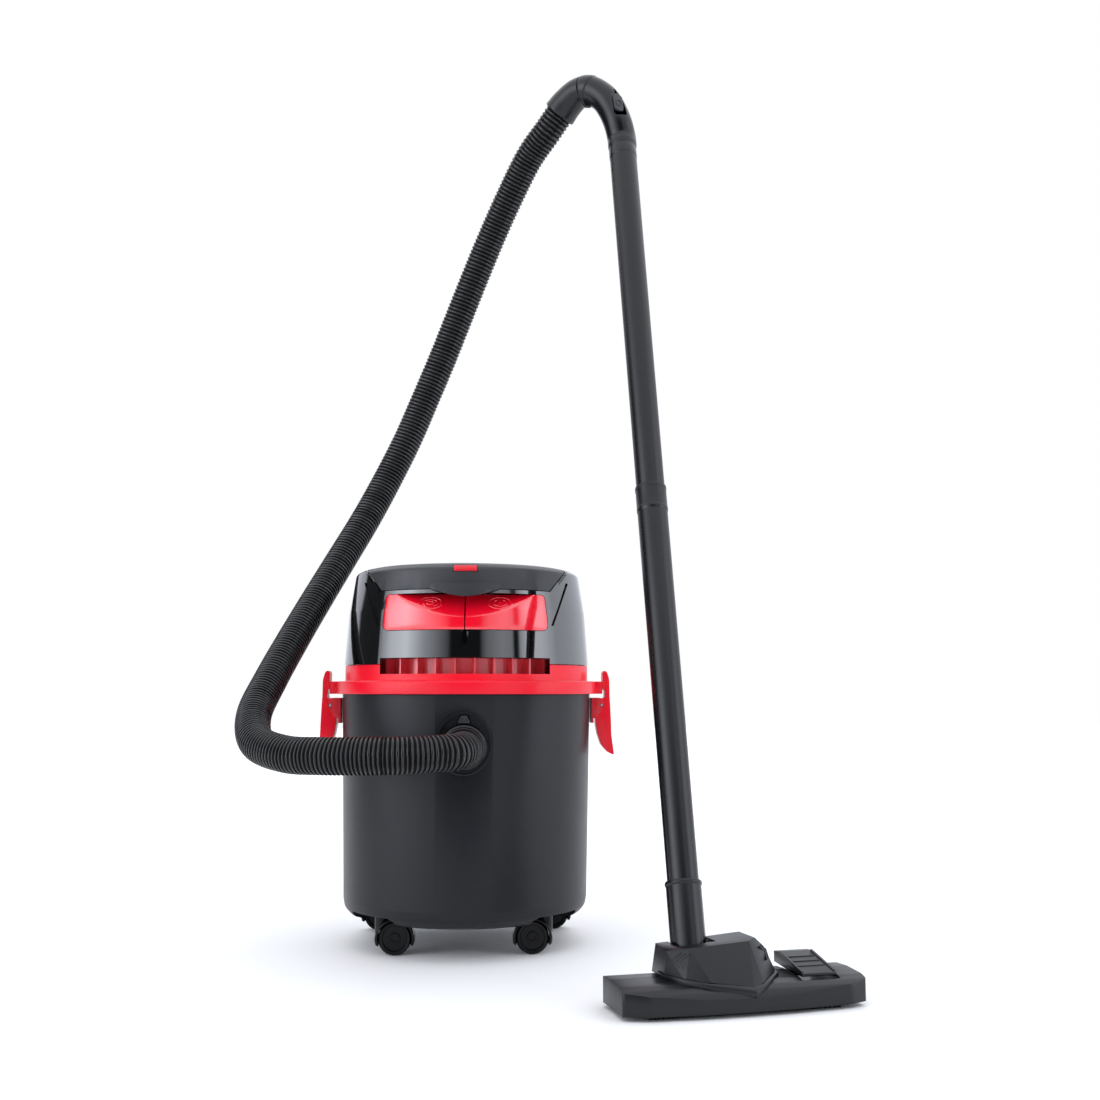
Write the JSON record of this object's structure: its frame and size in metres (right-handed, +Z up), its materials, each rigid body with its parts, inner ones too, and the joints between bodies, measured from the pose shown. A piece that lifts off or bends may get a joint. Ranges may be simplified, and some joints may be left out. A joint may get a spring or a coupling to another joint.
{
  "type": "shop vacuum",
  "caption": "Wet and dry shop vacuum: round tank on swivel casters, lift-off motor head with side latches, corrugated hose, bent grip, two-part wand and tilting floor tool.",
  "frame": {"origin": "on the floor, under the middle of the box round the whole object without its hose", "axes": "+Z up, -Y towards the front of the machine where the hose plugs in, +X to the right seen from the front"},
  "size_m": [0.6526, 0.6134, 1.1346],
  "materials": {
    "charcoal_plastic": "fine satin texture",
    "gloss_black": "high gloss",
    "dark_grey_plastic": "satin",
    "red_plastic": "gloss",
    "black_plastic": "satin",
    "hose_plastic": "corrugated satin",
    "rubber": "matte",
    "wheel_plastic": "satin",
    "steel": "bright",
    "winding": "varnished copper",
    "filter_paper": "pleated paper",
    "white_plastic": "satin",
    "bristle": "bristle strip"
  },
  "bodies": {
    "machine": {"tank": "charcoal_plastic", "inlet_socket": "charcoal_plastic", "tank_seal": "rubber", "latch_bracket_left": "red_plastic", "latch_bracket_right": "red_plastic", "latch_pin_left": "steel", "latch_pin_right": "steel", "caster_stem_front_left": "steel", "caster_stem_front_right": "steel", "caster_stem_rear_left": "steel", "caster_stem_rear_right": "steel", "hose": "hose_plastic", "hose_cuff": "black_plastic", "handle_tube": "black_plastic", "wand_upper": "black_plastic", "wand_lower": "black_plastic", "tool_neck": "black_plastic"},
    "head": {"head_base": "red_plastic", "front_fascia": "gloss_black", "rear_shell": "gloss_black", "handle_rod": "steel", "cord_outlet": "rubber", "motor_housing": "black_plastic", "motor_gasket": "rubber", "float_cage": "white_plastic", "filter": "filter_paper", "filter_retainer": "black_plastic", "reel_axle": "steel", "power_switch": "white_plastic", "rewind_switch": "white_plastic", "power_spring": "steel", "rewind_spring": "steel"},
    "carry_handle_body": {"carry_handle": "dark_grey_plastic", "handle_inlay": "red_plastic"},
    "power_button_body": {"power_button": "red_plastic"},
    "rewind_button_body": {"rewind_button": "red_plastic"},
    "reel_body": {"cord_reel": "white_plastic"},
    "rotor_body": {"motor_rotor": "winding"},
    "float_body": {"float_ball": "rubber"},
    "latch_left": {"latch_lever_left": "red_plastic"},
    "latch_right": {"latch_lever_right": "red_plastic"},
    "connector_body": {"hose_connector": "black_plastic"},
    "connector_latch_body": {"connector_latch": "dark_grey_plastic"},
    "slider_body": {"suction_slider": "dark_grey_plastic"},
    "floor_tool": {"tool_body": "black_plastic", "tool_cover": "black_plastic"},
    "pedal_body": {"brush_pedal": "black_plastic"},
    "brush_front_body": {"brush_front": "bristle"},
    "brush_rear_body": {"brush_rear": "bristle"},
    "roller_left": {"tool_roller_left": "rubber"},
    "roller_right": {"tool_roller_right": "rubber"},
    "caster_front_left": {"caster_hood_front_left": "black_plastic"},
    "wheel_front_left": {"caster_wheel_front_left": "wheel_plastic"},
    "caster_front_right": {"caster_hood_front_right": "black_plastic"},
    "wheel_front_right": {"caster_wheel_front_right": "wheel_plastic"},
    "caster_rear_left": {"caster_hood_rear_left": "black_plastic"},
    "wheel_rear_left": {"caster_wheel_rear_left": "wheel_plastic"},
    "caster_rear_right": {"caster_hood_rear_right": "black_plastic"},
    "wheel_rear_right": {"caster_wheel_rear_right": "wheel_plastic"}
  },
  "joints": [
    {"name": "head_lift", "type": "slide", "parent": "machine", "child": "head", "axis": [0, 0, 1], "range_m": [0, 0.35]},
    {"name": "carry_handle_swing", "type": "hinge", "parent": "head", "child": "carry_handle_body", "pos_m": [-0.10593, 0.12382, 0.4365], "axis": [-1, 0, 0], "range_deg": [0, 55]},
    {"name": "power_button_press", "type": "slide", "parent": "head", "child": "power_button_body", "axis": [0, 1, 0], "range_m": [0, 0.004], "stiffness_N_per_m": 400, "deforming": ["power_spring"]},
    {"name": "rewind_button_press", "type": "slide", "parent": "head", "child": "rewind_button_body", "axis": [0, 1, 0], "range_m": [0, 0.004], "stiffness_N_per_m": 400, "deforming": ["rewind_spring"]},
    {"name": "cord_reel_spin", "type": "hinge", "parent": "head", "child": "reel_body", "pos_m": [-0.10593, 0.15682, 0.41], "axis": [0, 0, 1], "continuous": true},
    {"name": "motor_spin", "type": "hinge", "parent": "head", "child": "rotor_body", "pos_m": [-0.10593, 0.12182, 0.35], "axis": [0, 0, 1], "continuous": true},
    {"name": "float_rise", "type": "slide", "parent": "head", "child": "float_body", "axis": [0, 0, 1], "range_m": [0, 0.045]},
    {"name": "latch_left_swing", "type": "hinge", "parent": "machine", "child": "latch_left", "pos_m": [-0.27193, 0.12182, 0.2836], "axis": [0, -1, 0], "range_deg": [0, 8]},
    {"name": "latch_right_swing", "type": "hinge", "parent": "machine", "child": "latch_right", "pos_m": [0.06007, 0.12182, 0.2836], "axis": [0, 1, 0], "range_deg": [0, 8]},
    {"name": "hose_connector_swivel", "type": "hinge", "parent": "machine", "child": "connector_body", "pos_m": [-0.10593, -0.02818, 0.238], "axis": [0, 1, 0], "continuous": true},
    {"name": "connector_latch_press", "type": "slide", "parent": "machine", "child": "connector_latch_body", "axis": [0, 1, 0], "range_m": [0, 0.002], "stiffness_N_per_m": 600},
    {"name": "suction_slide", "type": "slide", "parent": "machine", "child": "slider_body", "axis": [-0.0957, 0.2024, 0.9746], "range_m": [-0.007, 0.013]},
    {"name": "floor_tool_tilt", "type": "hinge", "parent": "machine", "child": "floor_tool", "pos_m": [0.11961, -0.20499, 0.0335], "axis": [0.9763, 0.2164, 0], "range_deg": [-25, 50]},
    {"name": "pedal_rock", "type": "hinge", "parent": "floor_tool", "child": "pedal_body", "pos_m": [0.23436, -0.19543, 0.0265], "axis": [0.9763, 0.2164, 0], "range_deg": [-9, 0]},
    {"name": "brush_front_lift", "type": "slide", "parent": "floor_tool", "child": "brush_front_body", "axis": [0, 0, 1], "range_m": [0, 0.004]},
    {"name": "brush_rear_lift", "type": "slide", "parent": "floor_tool", "child": "brush_rear_body", "axis": [0, 0, 1], "range_m": [0, 0.004]},
    {"name": "roller_left_spin", "type": "hinge", "parent": "floor_tool", "child": "roller_left", "pos_m": [0.04453, -0.21703, 0.0075], "axis": [0.9763, 0.2164, 0], "continuous": true},
    {"name": "roller_right_spin", "type": "hinge", "parent": "floor_tool", "child": "roller_right", "pos_m": [0.26322, -0.16855, 0.0075], "axis": [0.9763, 0.2164, 0], "continuous": true},
    {"name": "caster_front_left_swivel", "type": "hinge", "parent": "machine", "child": "caster_front_left", "pos_m": [-0.20043, 0.04182, 0.0452], "axis": [0, 0, 1], "continuous": true},
    {"name": "wheel_front_left_spin", "type": "hinge", "parent": "caster_front_left", "child": "wheel_front_left", "pos_m": [-0.18493, 0.04182, 0.019], "axis": [0, 1, 0], "continuous": true},
    {"name": "caster_front_right_swivel", "type": "hinge", "parent": "machine", "child": "caster_front_right", "pos_m": [-0.01143, 0.04182, 0.0452], "axis": [0, 0, 1], "continuous": true},
    {"name": "wheel_front_right_spin", "type": "hinge", "parent": "caster_front_right", "child": "wheel_front_right", "pos_m": [-0.02693, 0.04182, 0.019], "axis": [0, 1, 0], "continuous": true},
    {"name": "caster_rear_left_swivel", "type": "hinge", "parent": "machine", "child": "caster_rear_left", "pos_m": [-0.20043, 0.20182, 0.0452], "axis": [0, 0, 1], "continuous": true},
    {"name": "wheel_rear_left_spin", "type": "hinge", "parent": "caster_rear_left", "child": "wheel_rear_left", "pos_m": [-0.21593, 0.20182, 0.019], "axis": [0, 1, 0], "continuous": true},
    {"name": "caster_rear_right_swivel", "type": "hinge", "parent": "machine", "child": "caster_rear_right", "pos_m": [-0.01143, 0.20182, 0.0452], "axis": [0, 0, 1], "continuous": true},
    {"name": "wheel_rear_right_spin", "type": "hinge", "parent": "caster_rear_right", "child": "wheel_rear_right", "pos_m": [0.00407, 0.20182, 0.019], "axis": [0, 1, 0], "continuous": true}
  ],
  "couplings": [
    {"joint": "brush_front_lift", "follows": "pedal_rock", "m_per_rad": -0.0242},
    {"joint": "brush_rear_lift", "follows": "pedal_rock", "m_per_rad": -0.0242}
  ]
}
